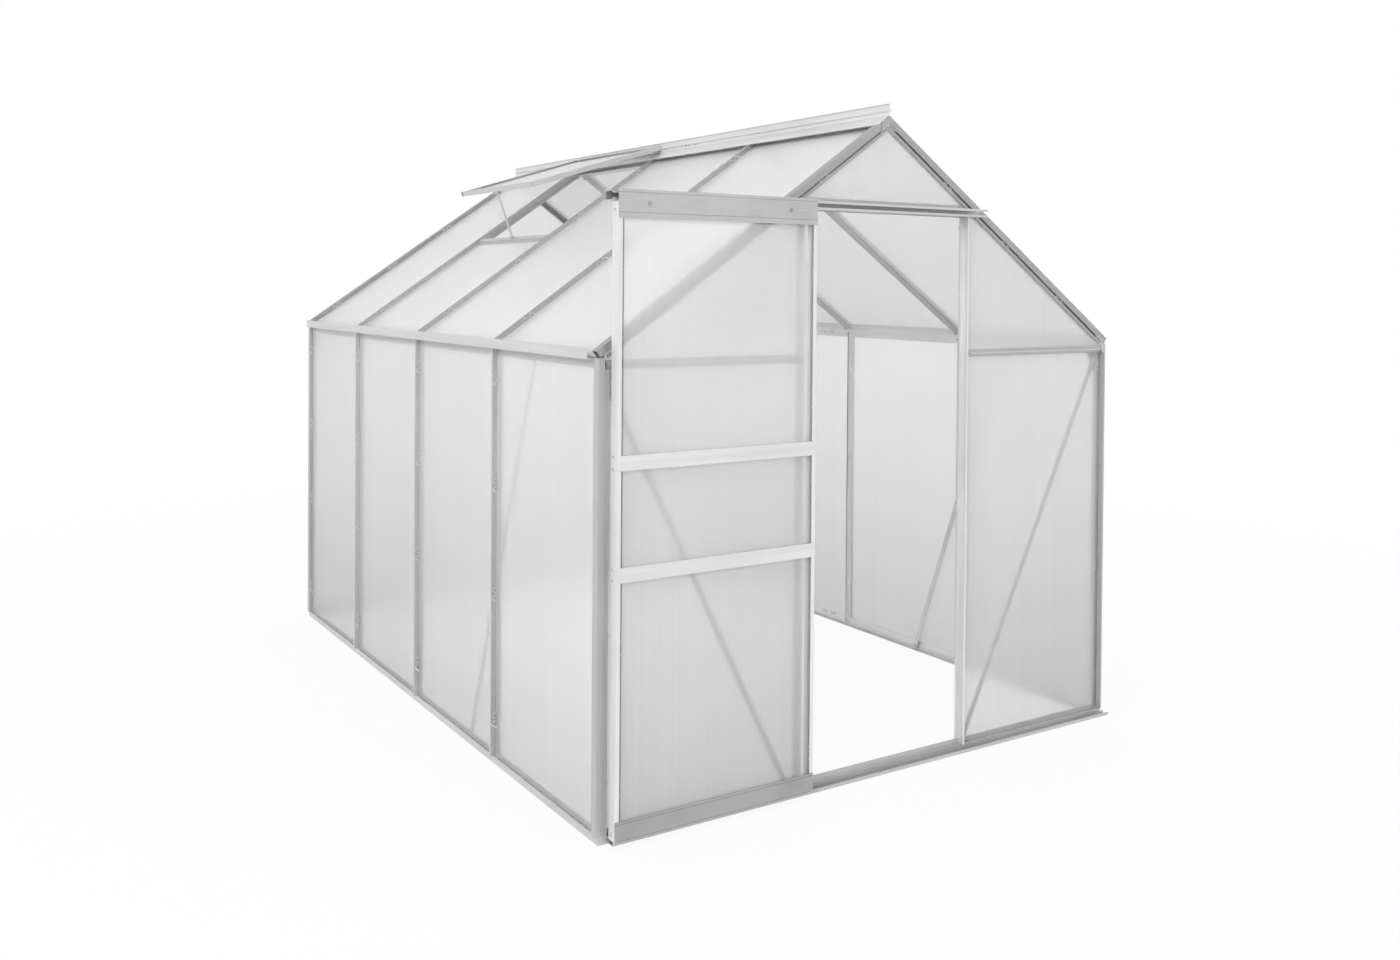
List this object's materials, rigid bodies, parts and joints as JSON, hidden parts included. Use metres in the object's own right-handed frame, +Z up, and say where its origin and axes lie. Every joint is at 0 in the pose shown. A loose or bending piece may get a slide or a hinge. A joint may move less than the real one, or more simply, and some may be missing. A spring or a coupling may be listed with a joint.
{
  "type": "aluminium greenhouse with twin-wall sheet glazing",
  "caption": "Small gable-roofed aluminium greenhouse with milky twin-wall sheet panes, a sliding door on a header track and a propped roof vent.",
  "frame": {"origin": "centre of the bounding box on the ground", "axes": "+Z up, X across the gable, Y along the ridge, the door gable faces -Y"},
  "size_m": [1.946, 2.5846, 1.94],
  "materials": {
    "mill_aluminium": "satin, as extruded",
    "twin_wall_sheet": "milky, fluted",
    "black_nylon": "moulded"
  },
  "bodies": {
    "house": {"sill_front": "mill_aluminium", "sill_back": "mill_aluminium", "sill_left": "mill_aluminium", "sill_right": "mill_aluminium", "floor_track": "mill_aluminium", "corner_posts_front": "mill_aluminium", "corner_posts_back": "mill_aluminium", "gable_rafters_front": "mill_aluminium", "gable_rafters_back": "mill_aluminium", "wall_bars_left": "mill_aluminium", "wall_bars_right": "mill_aluminium", "roof_bars_left": "mill_aluminium", "roof_bars_right": "mill_aluminium", "gutter_left": "mill_aluminium", "gutter_right": "mill_aluminium", "ridge": "mill_aluminium", "door_posts": "mill_aluminium", "back_posts": "mill_aluminium", "door_header": "mill_aluminium", "eave_bars_front": "mill_aluminium", "eave_bars_back": "mill_aluminium", "panes_wall_left": "twin_wall_sheet", "panes_wall_right": "twin_wall_sheet", "panes_roof_left": "twin_wall_sheet", "panes_roof_right": "twin_wall_sheet", "panes_gable_front": "twin_wall_sheet", "panes_gable_back": "twin_wall_sheet", "brace_left": "mill_aluminium", "brace_right": "mill_aluminium", "braces_front": "mill_aluminium", "braces_back": "mill_aluminium", "door_track": "mill_aluminium", "track_brackets": "mill_aluminium", "vent_top_rail": "mill_aluminium", "vent_bottom_rail": "mill_aluminium", "vent_side_rails": "mill_aluminium", "vent_pane": "twin_wall_sheet", "vent_sill": "mill_aluminium", "vent_stay": "mill_aluminium"},
    "door": {"door_stile_left": "mill_aluminium", "door_stile_right": "mill_aluminium", "door_top_rail": "mill_aluminium", "door_kick_rail": "mill_aluminium", "door_mid_rails": "mill_aluminium", "door_panes": "twin_wall_sheet", "door_rollers": "black_nylon", "door_hangers": "mill_aluminium", "door_guides": "black_nylon"}
  },
  "joints": [
    {"name": "door_slide", "type": "slide", "parent": "house", "child": "door", "axis": [1, 0, 0], "range_m": [0, 0.617]}
  ]
}
